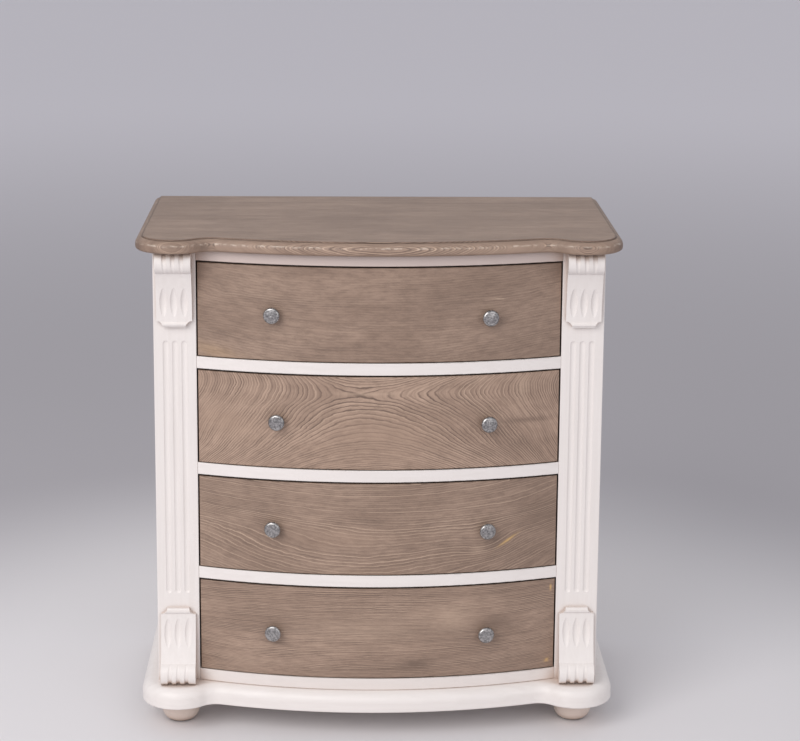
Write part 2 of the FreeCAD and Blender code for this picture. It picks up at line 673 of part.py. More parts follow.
def corbel(label, side, upper):
    """Scroll bracket: reeded scroll at one end, gouged hollow, and a lip with notched corners at the other.

    It is drawn as the lower corbel, standing on its scroll; the upper one is turned upside down.
    """
    body = new_body(label)
    lip_low = "(Size.corbel_height - Size.lip_height)"
    lip_straight = "(Size.corbel_height - Size.lip_round)"
    hollow_rise = "(Size.scroll_crease - Size.hollow_foot)"
    hollow_radius = f"((({lip_low} - Size.scroll_height) ^ 2 + {hollow_rise} ^ 2) / (2 * {hollow_rise}))"
    profile = outline(new_sketch(body, "YZ_Plane"), [
        ("0", "0"),
        ("0", "Size.corbel_height"),
        ("(Size.lip_round - Size.lip_projection)", "Size.corbel_height"),
        ("(-Size.lip_projection)", lip_straight, "Size.lip_round", -1),
        ("(-Size.lip_projection)", f"({lip_low} + Size.lip_projection - Size.hollow_foot)"),
        ("(-Size.hollow_foot)", lip_low),
        ("(-Size.scroll_crease)", "Size.scroll_height", hollow_radius, -1),
        ("(-Size.scroll_foot)", "0", "Size.scroll_radius", 1),
    ])
    pad(body, profile, "Size.corbel_width", middle=True)

    notches = new_sketch(body, "XZ_Plane")
    for edge in (-1, 1):
        circle(notches, f"({edge} * Size.corbel_width / 2)", "Size.corbel_height", "Size.lip_notch_radius")
    pocket(body, notches)

    # The scroll's arc has its centre behind the middle of its chord. The reed cutter turns a little above
    # that centre, so that it cuts deep at the foot and runs out at the crease.
    middle_y = ("(-(Size.scroll_foot + Size.scroll_crease) / 2 + sqrt(Size.scroll_radius ^ 2"
                " - (Size.scroll_height ^ 2 + (Size.scroll_crease - Size.scroll_foot) ^ 2) / 4))")
    reeds = new_sketch(body, "XY_Plane", "(Size.scroll_height / 2 + Size.reed_runout)")
    for step in (-1, 0, 1):
        circle(reeds, f"({step} * Size.reed_pitch)",
               f"({middle_y} - Size.scroll_radius - Size.reed_groove_radius + Size.reed_groove_depth)",
               "Size.reed_groove_radius")
    half_width = number("Size.corbel_width / 2")
    axle = reeds.addGeometry(Part.LineSegment(FreeCAD.Vector(-half_width, number(middle_y), 0),
                                              FreeCAD.Vector(half_width, number(middle_y), 0)), True)
    hold(reeds, ("DistanceX", -1, 1, axle, 1), "(-Size.corbel_width / 2)")
    hold(reeds, ("DistanceX", -1, 1, axle, 2), "(Size.corbel_width / 2)")
    hold(reeds, ("DistanceY", -1, 1, axle, 1), middle_y)
    hold(reeds, ("DistanceY", -1, 1, axle, 2), middle_y)
    groove(body, reeds, (REED_TURN_DOWN, REED_TURN_UP))

    # Each gouge cut is a spindle whose two points lie a little in front of the surface of the hollow.
    gouge_low = "(Size.scroll_height + Size.gouge_scroll_margin)"
    low_y, high_y = (f"(sqrt({hollow_radius} ^ 2 - ({lip_low} - {level}) ^ 2) - {hollow_radius}"
                     f" - Size.hollow_foot - Size.gouge_stand_off)" for level in (gouge_low, lip_low))
    chord_squared = f"(({lip_low} - {gouge_low}) ^ 2 + ({high_y} - {low_y}) ^ 2)"
    bulge = f"(({chord_squared} / 4 + Size.gouge_radius ^ 2) / (2 * Size.gouge_radius))"
    gouge = outline(new_sketch(body, "YZ_Plane", "(-Size.gouge_pitch)"),
                    [(low_y, gouge_low), (high_y, lip_low, bulge, 1)])
    spine(gouge, [(0, 1), (0, 2)])
    repeat(body, groove(body, gouge), "X_Axis", "(2 * Size.gouge_pitch)", 3)
    place(body, x=f"({side} * {POST_CENTRE})", z=BODY_TOP if upper else BODY_LOW)
    if upper:
        body.Placement.Rotation = FreeCAD.Rotation(FreeCAD.Vector(0, 1, 0), 180)
    node(body, label)


# ---------------------------------------------------------------- drawer runners

def runner(drawer, side):
    """Runner behind one rail: a ledge for the drawer's side, a guide beside it and a stop at the back."""
    floor = floor_of(drawer)
    thickness = "Size.bottom_rail_height" if drawer == DRAWERS else "Size.divider_height"
    ledge_x = f"({HALF_OPENING} - Size.runner_ledge)"
    guide_x = f"({HALF_OPENING} - Size.drawer_side_gap + Size.guide_clearance)"
    start_y = f"{FACE_Y} + Size.post_depth"
    stop_y = f"({FACE_Y} + {DRAWER_LENGTH})"
    low = f"({floor} - {thickness})"
    high = f"({floor} + Size.guide_height)"
    spans = [
        (ledge_x, SIDE_INNER, start_y, f"{FACE_Y} + {REAR_POST_Y}", low, floor),
        (ledge_x, f"({HALF_BODY} - Size.rear_post_width)", start_y, f"{FACE_Y} + {BACK_PANEL_Y}", low, floor),
        (guide_x, f"({guide_x} + Size.guide_width)", start_y, f"{stop_y} + Size.stop_length", floor, high),
        (ledge_x, f"({guide_x} + Size.guide_width)", stop_y, f"{stop_y} + Size.stop_length", floor, high),
    ]
    boards = []
    for near, far, low_y, high_y, low_z, high_z in spans:
        low_x, high_x = across(side, near, far)
        boards.append(box("board", (low_x, low_y, low_z), (high_x, high_y, high_z)))
    joined = doc.addObject("Part::MultiFuse", "runner")
    joined.Shapes = boards
    joined.Refine = True
    return joined


def runners(name, side):
    """The runners of one side, and the kicker that keeps the highest drawer level as it opens."""
    pieces = [runner(drawer, side) for drawer in range(1, DRAWERS + 1)]
    low_x, high_x = across(side, f"({HALF_OPENING} - Size.runner_ledge)", SIDE_INNER)
    pieces.append(box("kicker", (low_x, f"{FACE_Y} + Size.post_depth", TOP_OPENING_HEAD),
                      (high_x, f"{FACE_Y} + {REAR_POST_Y}", BODY_TOP)))
    group = doc.addObject("Part::Compound", "runners")
    group.Links = pieces
    node(group, f"drawer_runners_{name}")


# ---------------------------------------------------------------- drawers

def knob_spots(drawer):
    """Name of each knob of a drawer, with its x and its level; the pair was drilled a little out of true.

    The second drawer's pair sits higher than the others, and its left knob slipped towards the middle.
    """
    middle = f"({floor_of(drawer)} + Size.opening_height / 2)"
    for name, side in SIDES.items():
        x = f"{side} * Size.knob_offset_{name}"
        level = f"{middle} - Size.knob_drop_{name}"
        if drawer == 2:
            level = f"{level} + Size.second_knobs_rise"
            if name == "left":
                x = f"{x} + Size.second_left_knob_slip"
        yield name, (f"({x})", f"({level})")


def at_knob(item, spot):
    """Stand a piece, drawn about the knob's axis, square on the bowed face where a knob sits."""
    x, level = spot
    place(item, x=x, y=bow_y(BOW_RADIUS, x), z=level)
    item.Placement.Rotation = FreeCAD.Rotation(FreeCAD.Vector(0, 0, 1), 1)
    item.setExpression("Placement.Rotation.Angle", f"asin({x} / {BOW_RADIUS})")


def drawer_front(drawer):
    """Bent front of even thickness, lapped over the drawer's sides and grooved for its bottom."""
    body = new_body(f"front_blank_{drawer}")
    inner_radius = f"({BOW_RADIUS} - Size.front_thickness)"
    outer_y = bow_y(BOW_RADIUS, DRAWER_HALF)
    inner_y = bow_y(inner_radius, DRAWER_HALF)
    plan = outline(new_sketch(body, "XY_Plane", "Size.drawer_low_gap"), [
        (f"(-{DRAWER_HALF})", outer_y),
        (DRAWER_HALF, outer_y, BOW_RADIUS, 1),
        (DRAWER_HALF, inner_y),
        (f"(-{DRAWER_HALF})", inner_y, inner_radius, -1),
    ])
    pad(body, plan, "(Size.opening_height - Size.drawer_low_gap - Size.drawer_top_gap)")
    face_end = number(outer_y)
    round_edges(body, "Size.arris_round", lambda edge: edge.BoundBox.YMax < face_end + 1e-3)

    laps = new_sketch(body, "XY_Plane")
    for side in SIDES.values():
        low_x, high_x = across(side, INNER_HALF, HALF_OPENING)
        rectangle(laps, low_x, "Size.front_lap", high_x, "Size.post_depth")
    pocket(body, laps)

    groove_radius = f"({inner_radius} + Size.bottom_groove_depth)"
    groove_y = bow_y(groove_radius, INNER_HALF)
    slot = outline(new_sketch(body, "XY_Plane", "Size.bottom_rise"), [
        (f"(-{INNER_HALF})", groove_y),
        (INNER_HALF, groove_y, groove_radius, 1),
        (INNER_HALF, "Size.post_depth"),
        (f"(-{INNER_HALF})", "Size.post_depth"),
    ])
    pocket(body, slot, "Size.bottom_thickness", reverse=True)
    place(body, z=floor_of(drawer))

    holes = []
    for _, spot in knob_spots(drawer):
        hole = screw_rod("(Size.screw_radius + Size.screw_hole_clearance)",
                         "(-Size.front_thickness - Size.overcut)", "Size.overcut")
        at_knob(hole, spot)
        holes.append(hole)
    both = doc.addObject("Part::MultiFuse", "holes")
    both.Shapes = holes
    front = doc.addObject("Part::Cut", "front")
    front.Base = body
    front.Tool = both
    node(front, f"drawer_{drawer}_front")


def screw_rod(radius, inner, outer):
    """Round rod about the knob's axis, from inside the drawer (negative) to the outside (positive)."""
    body = new_body("rod")
    profile = rectangle(new_sketch(body, "XY_Plane"), "0", f"(-({outer}))", radius, f"(-({inner}))")
    revolve(body, profile, "Y_Axis")
    return body


def knob(drawer, name, spot):
    """Cast knob: small base, waisted stem, and a head with a nearly flat face and a round shoulder.

    Its blind bore is threaded for the screw, so that it fits the screw closely.
    """
    label = f"drawer_{drawer}_{name}_knob"
    body = new_body(label)
    head_low = "(Size.knob_length - Size.knob_head_height)"
    rim = "(Size.knob_length - Size.knob_rim_drop)"
    shoulder_x = "(Size.knob_radius - Size.knob_shoulder_radius)"
    face_edge = f"({rim} + sqrt(Size.knob_shoulder_radius ^ 2 - ({shoulder_x} - Size.knob_face_radius) ^ 2))"
    face_rise = f"(Size.knob_length - {face_edge})"
    face_dome = f"((Size.knob_face_radius ^ 2 + {face_rise} ^ 2) / (2 * {face_rise}))"
    bore = "(Size.screw_radius + Size.screw_hole_clearance / 2)"
    profile = outline(new_sketch(body, "XY_Plane"), [
        (bore, "0"),
        (bore, "(-Size.screw_bite - Size.screw_hole_clearance)"),
        ("0", "(-Size.screw_bite - Size.screw_hole_clearance)"),
        ("0", "(-Size.knob_length)"),
        ("Size.knob_face_radius", f"(-{face_edge})", face_dome, 1),
        ("Size.knob_radius", f"(-{rim})", "Size.knob_shoulder_radius", 1),
        ("Size.knob_stem_radius", f"(-{head_low})", "Size.knob_under_radius", 1),
        ("Size.knob_base_radius", "(-Size.knob_base_height)", "Size.knob_waist_radius", -1),
        ("Size.knob_base_radius", "0"),
    ])
    revolve(body, profile, "Y_Axis")
    at_knob(body, spot)
    node(body, label)


def knob_screws(drawer):
    """The two screws that hold the knobs from inside the drawer."""
    screws = []
    for name, spot in knob_spots(drawer):
        body = new_body(f"screw_{drawer}_{name}")
        # The head's rim meets the hollow side of the front a little further in than its middle does.
        head_y = (f"({BOW_RADIUS} - sqrt(({BOW_RADIUS} - Size.front_thickness) ^ 2"
                  f" - Size.screw_head_radius ^ 2))")
        profile = outline(new_sketch(body, "XY_Plane"), [
            ("0", "(-Size.screw_bite)"),
            ("Size.screw_radius", "(-Size.screw_bite)"),
            ("Size.screw_radius", head_y),
            ("Size.screw_head_radius", head_y),
            ("Size.screw_head_radius", f"({head_y} + Size.screw_head_height)"),
            ("0", f"({head_y} + Size.screw_head_height)"),
        ])
        revolve(body, profile, "Y_Axis")
        at_knob(body, spot)
        screws.append(body)
    group = doc.addObject("Part::Compound", "screws")
    group.Links = screws
    node(group, f"drawer_{drawer}_knob_screws")


def drawer_side(drawer, name, side):
    """Side board, grooved for the drawer's bottom."""
    floor = floor_of(drawer)
    low_x, high_x = across(side, INNER_HALF, DRAWER_HALF)
    start_y = f"{FACE_Y} + Size.front_lap"
    end_y = f"{FACE_Y} + {DRAWER_LENGTH}"
    board = box("side", (low_x, start_y, floor), (high_x, end_y, f"({floor} + {DRAWER_SIDE_HEIGHT})"))
    slot_low, slot_high = across(side, f"({INNER_HALF} - Size.overcut)",
                                  f"({INNER_HALF} + Size.bottom_groove_depth)")
    slot = box("slot", (slot_low, f"{start_y} - Size.overcut", f"({floor} + Size.bottom_rise)"),
               (slot_high, f"{end_y} + Size.overcut", f"({floor} + {BOTTOM_SURFACE})"))
    cut = doc.addObject("Part::Cut", "grooved_side")
    cut.Base = board
    cut.Tool = slot
    node(cut, f"drawer_{drawer}_{name}_side")


def drawer_back(drawer):
    """Back board between the sides, standing on the bottom panel."""
    floor = floor_of(drawer)
    back_y = f"{FACE_Y} + {DRAWER_LENGTH} - Size.drawer_tail"
    high = f"({floor} + {DRAWER_SIDE_HEIGHT} - Size.drawer_back_drop)"
    board = box("back_board",
                (f"-{INNER_HALF}", f"{back_y} - Size.drawer_board", f"({floor} + {BOTTOM_SURFACE})"),
                (INNER_HALF, back_y, high))
    node(board, f"drawer_{drawer}_back")


def drawer_bottom(drawer):
    """Plywood bottom, bowed in front, in the grooves of the front and the sides."""
    label = f"drawer_{drawer}_bottom"
    body = new_body(label)
    half = f"({INNER_HALF} + Size.bottom_groove_depth - Size.joint_clearance)"
    radius = f"({BOW_RADIUS} - Size.front_thickness + Size.bottom_groove_depth - Size.joint_clearance)"
    front_y = bow_y(radius, half)
    back_y = f"({DRAWER_LENGTH} - Size.drawer_tail)"
    plan = outline(new_sketch(body, "XY_Plane", "Size.bottom_rise"), [
        (f"(-{half})", front_y),
        (half, front_y, radius, 1),
        (half, back_y),
        (f"(-{half})", back_y),
    ])
    pad(body, plan, "Size.bottom_thickness")
    place(body, z=floor_of(drawer))
    node(body, label)


def drawer_parts(drawer):
    """All the pieces of one drawer."""
    drawer_front(drawer)
    for name, side in SIDES.items():
        drawer_side(drawer, name, side)
    drawer_back(drawer)
    drawer_bottom(drawer)
    for name, spot in knob_spots(drawer):
        knob(drawer, name, spot)
    knob_screws(drawer)


# ---------------------------------------------------------------- assembly, check and export

def build():
    """Make every piece of the chest."""
    top_board()
    plinth()
    for label, x, y in foot_places():
        bun_foot(label, x, y)
    for name, side in SIDES.items():
        front_post(name, side)
        rear_post(name, side)
        side_frame(name, side)
        corbel(f"upper_corbel_{name}", side, True)
        corbel(f"lower_corbel_{name}", side, False)
        runners(name, side)
    back_panel()
    for label, level, height in rail_places():
        front_rail(label, level, height)
    for drawer in range(1, DRAWERS + 1):
        drawer_parts(drawer)
    doc.recompute()


def check():
    """Stop before anything is written if a feature failed or a shape is not sound."""
    for item in doc.Objects:
        if "Invalid" in item.State or "Error" in item.State:
            raise RuntimeError(f"{item.Label} ({item.Name}) failed: {item.State}")
    for item in nodes:
        if item.Shape.isNull() or not item.Shape.isValid():
            raise RuntimeError(f"{item.Label} has no sound shape")


def export():
    """Write one STEP file for each piece."""
    os.makedirs("parts", exist_ok=True)
    for item in nodes:
        item.Shape.exportStep(os.path.join("parts", f"{item.Label}.step"))


build()
check()
export()
print(f"{len(nodes)} pieces written")
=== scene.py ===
"""Looks of the bow front chest of drawers: ivory paint, grey-brown stained wood, bare wood and pewter."""
import math

import bpy
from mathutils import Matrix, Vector


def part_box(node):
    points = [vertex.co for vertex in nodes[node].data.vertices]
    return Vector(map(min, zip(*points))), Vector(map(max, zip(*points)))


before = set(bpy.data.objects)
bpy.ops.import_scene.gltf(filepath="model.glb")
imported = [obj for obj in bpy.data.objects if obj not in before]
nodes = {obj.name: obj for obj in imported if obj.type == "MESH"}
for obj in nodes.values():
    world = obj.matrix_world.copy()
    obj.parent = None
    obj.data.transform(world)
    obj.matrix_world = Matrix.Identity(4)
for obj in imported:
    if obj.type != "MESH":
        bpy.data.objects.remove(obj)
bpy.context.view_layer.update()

scene = bpy.context.scene
DRAWERS = (1, 2, 3, 4)
SIDES = ("left", "right")

# ---------------------------------------------------------------- the camera
# A standing viewer's eye, nearly four metres in front of the chest and well above its top.
EYE = (-0.0587, -3.9557, 1.63)
EYE_TURN_DEGREES = (78.4656, -0.4253, -1.4476)
camera_data = bpy.data.cameras.new("viewer")
camera_data.sensor_width = 36
camera_data.lens = 98.54
camera_data.shift_x = -0.0048
camera_data.shift_y = -0.13
camera = bpy.data.objects.new("viewer", camera_data)
camera.location = EYE
camera.rotation_euler = [math.radians(turn) for turn in EYE_TURN_DEGREES]
scene.collection.objects.link(camera)
scene.camera = camera


# ---------------------------------------------------------------- the studio
# A pale floor under one large soft light, a weaker fill and a pale sky. Its colour holds painted light: pale
# round the chest like a pool of light, darker beyond, and paler again far off where the lamps reach less.
# Distances are in metres and powers in watts.
FLOOR_RADIUS = 40
FLOOR_TONE = (0.79, 0.77, 0.785)
# Each painted fade of the floor's colour: where it starts, where it ends, and the tone that it leads to.
FLOOR_PAINTED_FADES = ((0.7, 1.6, (0.47, 0.45, 0.475)), (2.2, 9, (0.77, 0.745, 0.79)))
# Each light: its name, place, size and power.
LIGHTS = (("key_light", (-2.0, -3.0, 2.7), 3.0, 90), ("fill_light", (1.9, -3.6, 1.5), 2.4, 16))
LIGHT_TONE = (1, 0.975, 0.95)
LIGHTS_AIM = Vector((0, 0, 0.45))
SKY_TONE = (0.86, 0.86, 0.9)
SKY_STRENGTH = 0.68


def add_node(tree, kind, values=None, feeds=None, **settings):
    """Add a shader node with its settings, its plain socket values and its incoming links."""
    made = tree.nodes.new(f"ShaderNode{kind}")
    for name, setting in settings.items():
        setattr(made, name, setting)
    for socket, value in (values or {}).items():
        made.inputs[socket].default_value = value
    for socket, source in (feeds or {}).items():
        tree.links.new(source, made.inputs[socket])
    return made


def remap(tree, source, low, high, start=0, end=1, **settings):
    """Spread a value that lies between start and end over the range from low to high."""
    values = {"From Min": start, "From Max": end, "To Min": low, "To Max": high}
    return add_node(tree, "MapRange", values, {"Value": source}, **settings).outputs[0]


def blend_colours(tree, share, first, second):
    """Mix of two colours, each a socket or an RGB value, by a share."""
    made = add_node(tree, "Mix", data_type="RGBA", blend_type="MIX")
    for place, term in ((0, share), (6, first), (7, second)):
        if isinstance(term, bpy.types.NodeSocket):
            tree.links.new(term, made.inputs[place])
        else:
            made.inputs[place].default_value = term if place == 0 else (*term, 1)
    return made.outputs[2]


def new_finish(name):
    """A material with its Principled shader and its object coordinates."""
    finish = bpy.data.materials.new(name)
    finish.use_nodes = True
    tree = finish.node_tree
    shader = tree.nodes["Principled BSDF"]
    place = add_node(tree, "TexCoord").outputs["Object"]
    return finish, tree, shader, place


def studio():
    """Floor, lights and sky."""
    bpy.ops.mesh.primitive_circle_add(vertices=96, radius=FLOOR_RADIUS, fill_type="NGON", location=(0, 0, 0))
    floor = bpy.context.object
    floor.name = "floor"
    finish, tree, shader, place = new_finish("floor_painted_light")
    distance = add_node(tree, "VectorMath", feeds={0: place}, operation="LENGTH").outputs["Value"]
    tone = FLOOR_TONE
    # Painted light: the colour fades from the pale pool round the chest to darker, then paler far off.
    for start, end, farther_tone in FLOOR_PAINTED_FADES:
        share = remap(tree, distance, 0, 1, start, end, interpolation_type="SMOOTHSTEP")
        tone = blend_colours(tree, share, tone, farther_tone)
    tree.links.new(tone, shader.inputs["Base Color"])
    shader.inputs["Roughness"].default_value = 0.7
    floor.data.materials.append(finish)

    for name, position, size, power in LIGHTS:
        lamp = bpy.data.lights.new(name, "AREA")
        lamp.shape = "DISK"
        lamp.size = size
        lamp.energy = power
        lamp.color = LIGHT_TONE
        light = bpy.data.objects.new(name, lamp)
        light.location = position
        light.rotation_euler = (LIGHTS_AIM - light.location).to_track_quat("-Z", "Y").to_euler()
        scene.collection.objects.link(light)

    sky = bpy.data.worlds.new("pale_sky")
    sky.use_nodes = True
    backdrop = sky.node_tree.nodes["Background"]
    backdrop.inputs["Color"].default_value = (*SKY_TONE, 1)
    backdrop.inputs["Strength"].default_value = SKY_STRENGTH
    scene.world = sky
    scene.view_settings.view_transform = "Standard"


studio()


# ---------------------------------------------------------------- painted case
# Ivory satin paint, brushed along each piece over a close wood grain. It is browner in tight hollows, part
# dirt and part painted shade, near-black deep in the gaps between pieces, a painted shade, and a softer
# brown in wider hollows and under overhangs, also a painted shade. There is a finish for each direction of
# the brush, ones with less of the brown and shade in hollows and gaps for the divider rails, the bottom rail
# and the plinth, and darker ones, a painted shade, for the top rail, the bottom rail and the feet.
IVORY = (0.86, 0.81, 0.785)
THIN_IVORY = (0.825, 0.78, 0.758)
STREAK_TONE = (0.755, 0.70, 0.67)
# Painted shade: a softer brown in wider hollows and under overhangs.
PAINTED_SHADE_TONE = (0.60, 0.44, 0.345)
# Brown in tight hollows, part dirt and part painted shade.
GRIME_AND_SHADE_TONE = (0.42, 0.31, 0.25)
# Near-black painted shade deep in the gaps between pieces.
GAP_SHADE_TONE = (0.09, 0.052, 0.036)
# How far from a place the shader looks for other surfaces, in metres.
HOLLOW_REACH = 0.016
PAINTED_SHADE_REACH = 0.07


def figure(tree, operation, *terms):
    """Math node on numbers and sockets; gives its result."""
    made = add_node(tree, "Math", operation=operation)
    for place, term in enumerate(terms):
        if isinstance(term, (int, float)):
            made.inputs[place].default_value = term
        else:
            tree.links.new(term, made.inputs[place])
    return made.outputs[0]


def ramp(tree, share, stops):
    """Smooth colour ramp with stops of (position, grey level)."""
    made = add_node(tree, "ValToRGB", feeds={"Fac": share})
    made.color_ramp.interpolation = "EASE"
    points = made.color_ramp.elements
    while len(points) < len(stops):
        points.new(1)
    for point, (position, level) in zip(points, stops):
        point.position = position
        point.color = (level, level, level, 1)
    return made.outputs["Color"]


def stretched_noise(tree, place, stretch, detail, **values):
    """Noise node that is as fine along each axis as stretch says."""
    at = add_node(tree, "VectorMath", {1: stretch}, {0: place}, operation="MULTIPLY")
    return add_node(tree, "TexNoise", {"Scale": 1, "Detail": detail, **values}, {"Vector": at.outputs[0]})


def openness(tree, reach):
    """1 on an open surface, falling to 0 where other surfaces are much nearer than reach."""
    return add_node(tree, "AmbientOcclusion", {"Distance": reach}, samples=8, only_local=False).outputs["AO"]


def start_group(name, inputs, outputs):
    """An empty shader group with its named sockets; gives the group, its inputs and its outputs."""
    group = bpy.data.node_groups.new(name, "ShaderNodeTree")
    for label, kind, value in inputs:
        socket = group.interface.new_socket(label, in_out="INPUT", socket_type=f"NodeSocket{kind}")
        if value is not None:
            socket.default_value = value
    for label, kind in outputs:
        group.interface.new_socket(label, in_out="OUTPUT", socket_type=f"NodeSocket{kind}")
    return group, group.nodes.new("NodeGroupInput").outputs, group.nodes.new("NodeGroupOutput").inputs


def use_group(tree, group, values=None, feeds=None):
    """Place a shader group in a material with its own values."""
    made = add_node(tree, "Group", node_tree=group)
    for socket, value in (values or {}).items():
        made.inputs[socket].default_value = value
    for socket, source in (feeds or {}).items():
        tree.links.new(source, made.inputs[socket])
    return made


def brushwork_group():
    """Brush marks and thin spots of paint. The vector's X runs along the brush strokes."""
    group, given, result = start_group(
        "brushwork", [("Vector", "Vector", None)],
        [("Strokes", "Float"), ("Clouds", "Float"), ("Grain", "Float")])
    strokes = stretched_noise(group, given["Vector"], (9, 330, 330), 4, Roughness=0.6)
    grain = stretched_noise(group, given["Vector"], (6, 120, 120), 3, Distortion=0.6)
    clouds = add_node(group, "TexNoise", {"Scale": 9, "Detail": 3}, {"Vector": given["Vector"]})
    for label, source in (("Strokes", strokes), ("Clouds", clouds), ("Grain", grain)):
        group.links.new(source.outputs["Fac"], result[label])
    return group


brushwork = brushwork_group()


def ivory_paint(name, brush_turn, dirt_and_shade=0.6, gap_shade_share=1.0, shade_end=0.6, shade_share=0.6, warmth=(1, 1, 1)):
    """Ivory paint whose brush strokes run along X once the piece is turned by brush_turn degrees.

    dirt_and_shade is the strength of the brown in tight hollows, part dirt and part painted shade, and
    gap_shade_share that of the near-black painted shade deep in the joints between two pieces. A softer
    painted shade lies in wider hollows and under overhangs: it ends at an openness of shade_end and is
    shade_share strong. warmth is what the paint's red, green and blue are multiplied by.
    """
    finish, tree, shader, place = new_finish(name)
    along = add_node(tree, "Mapping", {"Rotation": [math.radians(turn) for turn in brush_turn]},
                     {"Vector": place}, vector_type="POINT").outputs[0]
    marks = use_group(tree, brushwork, feeds={"Vector": along}).outputs
    # Brown in tight hollows, part dirt and part painted shade, and near-black painted shade deep in gaps.
    tight = openness(tree, HOLLOW_REACH)
    grime_and_shade = ramp(tree, tight, [(0.2, 1), (0.45, 0.5), (0.8, 0)])
    gap_shade = ramp(tree, tight, [(0.06, 1), (0.3, 0)])
    # Painted shade in wider hollows and under overhangs, such as under the top board.
    painted_shade = ramp(tree, openness(tree, PAINTED_SHADE_REACH), [(0.15, 1), (shade_end, 0)])
    ivory, thin_ivory, streak_tone = (
        [part * warm for part, warm in zip(tone, warmth)] for tone in (IVORY, THIN_IVORY, STREAK_TONE))
    base = blend_colours(tree, marks["Clouds"], ivory, thin_ivory)
    streaks = remap(tree, marks["Grain"], 0, 0.4, 0.35, 0.75)
    base = blend_colours(tree, streaks, base, streak_tone)
    base = blend_colours(tree, figure(tree, "MULTIPLY", painted_shade, shade_share), base, PAINTED_SHADE_TONE)
    base = blend_colours(tree, figure(tree, "MULTIPLY", grime_and_shade, dirt_and_shade), base, GRIME_AND_SHADE_TONE)
    base = blend_colours(tree, figure(tree, "MULTIPLY", gap_shade, gap_shade_share), base, GAP_SHADE_TONE)
    tree.links.new(base, shader.inputs["Base Color"])
    tree.links.new(remap(tree, marks["Strokes"], 0.36, 0.5), shader.inputs["Roughness"])
    relief = figure(tree, "ADD", marks["Strokes"], figure(tree, "MULTIPLY", marks["Grain"], 0.8))
    bump = add_node(tree, "Bump", {"Strength": 0.22, "Distance": 0.0006}, {"Height": relief})
    tree.links.new(bump.outputs[0], shader.inputs["Normal"])
    return finish


def dress(finish, slot, *labels):
    """Give CAD nodes a finish in place of their own."""
    for label in labels:
        piece = nodes[label]
        for material_slot in piece.material_slots:
            material_slot.material = finish


# Turns in degrees that lay the strokes, or the grain, along each axis.
ALONG_X, ALONG_Y, ALONG_Z = (0, 0, 0), (0, 0, 90), (0, 90, 0)
paint_upright = ivory_paint("ivory_paint_upright", ALONG_Z)
paint_level = ivory_paint("ivory_paint_level", ALONG_X, dirt_and_shade=0.25)
paint_base = ivory_paint("ivory_paint_base", ALONG_X, dirt_and_shade=0.1, gap_shade_share=0.2)
# The bottom rail's paint is a little darker: a painted shade.
paint_low_shaded = ivory_paint("ivory_paint_low_shaded", ALONG_X, dirt_and_shade=0.1, gap_shade_share=0.2, warmth=(0.94, 0.92, 0.91))
paint_deep = ivory_paint("ivory_paint_deep", ALONG_Y)
# The corbels get less brown in tight hollows and more painted shade in wide hollows and under the top.
paint_carved = ivory_paint("ivory_paint_carved", ALONG_Z, dirt_and_shade=0.3, gap_shade_share=0.7, shade_end=0.75,
                           shade_share=0.75)
# The top rail's paint is darker and browner: the painted shadow of the top board's overhang.
paint_shaded = ivory_paint("ivory_paint_shaded", ALONG_X, warmth=(0.74, 0.66, 0.63))
# The feet's paint is darker, a painted shade under the plinth, and warmer.
paint_feet = ivory_paint("ivory_paint_feet", ALONG_X, warmth=(0.91, 0.83, 0.77))
for side in SIDES:
    dress(paint_upright, "ivory_paint", f"front_post_{side}", f"rear_post_{side}", f"side_panel_{side}")
    dress(paint_carved, "ivory_paint", f"upper_corbel_{side}", f"lower_corbel_{side}")
    dress(paint_deep, "ivory_paint", f"side_top_rail_{side}", f"side_bottom_rail_{side}")
    dress(paint_feet, "ivory_paint", f"bun_foot_front_{side}", f"bun_foot_rear_{side}")
dress(paint_level, "ivory_paint", "divider_rail_1", "divider_rail_2", "divider_rail_3")
dress(paint_base, "ivory_paint", "plinth")
dress(paint_low_shaded, "ivory_paint", "bottom_rail")
dress(paint_shaded, "ivory_paint", "top_rail")


# ---------------------------------------------------------------- stained top board and drawer fronts
# Solid softwood, brushed to raise its grain, with a grey-brown wiping stain under matt lacquer. The growth
# rings lie round a pith behind each board, so the bow cuts them into arches. Knots push the rings aside, and
# the stain has left lighter and darker patches. A few patches are painted shade and one is a painted
# highlight, each noted where it is given, and the wood is darker where other surfaces are near it.
THICK_STAIN, THIN_STAIN = (0.325, 0.223, 0.167), (0.425, 0.298, 0.226)
DARK_STAIN, NEAR_BLACK_BROWN = (0.15, 0.10, 0.075), (0.055, 0.034, 0.025)
PALE_STAIN, AMBER = (0.53, 0.385, 0.29), (0.66, 0.42, 0.17)
EVEN_STAIN = (0.405, 0.28, 0.208)
# Tone of the painted highlights on the shoulder of the top's edge.
PAINTED_HIGHLIGHT_TONE = (0.76, 0.65, 0.55)
# How near other surfaces must be to darken the wood, in metres, and how ragged the edges of the marks are.
NEAR_SURFACE_REACH = 0.007
MARK_RAGGED = 0.9


